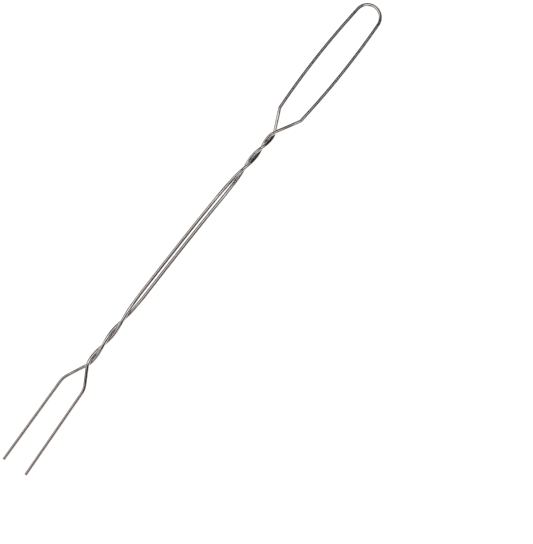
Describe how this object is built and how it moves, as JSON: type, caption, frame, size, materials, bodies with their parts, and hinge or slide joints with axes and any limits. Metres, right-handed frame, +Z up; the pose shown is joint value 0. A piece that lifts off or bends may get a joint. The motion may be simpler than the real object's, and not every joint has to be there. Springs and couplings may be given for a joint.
{
  "type": "marshmallow roasting fork",
  "caption": "Long wire roasting fork bent from one chrome-plated wire, with a loop handle, a shaft twisted at both ends and splayed tines.",
  "frame": {"origin": "on the surface the fork lies on, under the middle of its outline", "axes": "+Y from the tines to the handle, +X to the fork's right seen from above with the handle ahead, +Z up out of the plane of the loop and the tines"},
  "size_m": [0.0356, 0.5081, 0.0064],
  "materials": {
    "plated_wire": "bright chrome plating on drawn steel wire, with faint drawing lines along its length"
  },
  "bodies": {
    "root": {"handle_crown": "plated_wire", "handle_rail_left": "plated_wire", "handle_rail_right": "plated_wire", "handle_leg_left": "plated_wire", "handle_leg_right": "plated_wire", "handle_twist_over": "plated_wire", "handle_twist_under": "plated_wire", "shaft_strand_left": "plated_wire", "shaft_strand_right": "plated_wire", "tine_twist_over": "plated_wire", "tine_twist_under": "plated_wire", "tine_leg_left": "plated_wire", "tine_leg_right": "plated_wire", "tine_left": "plated_wire", "tine_right": "plated_wire"}
  },
  "joints": []
}
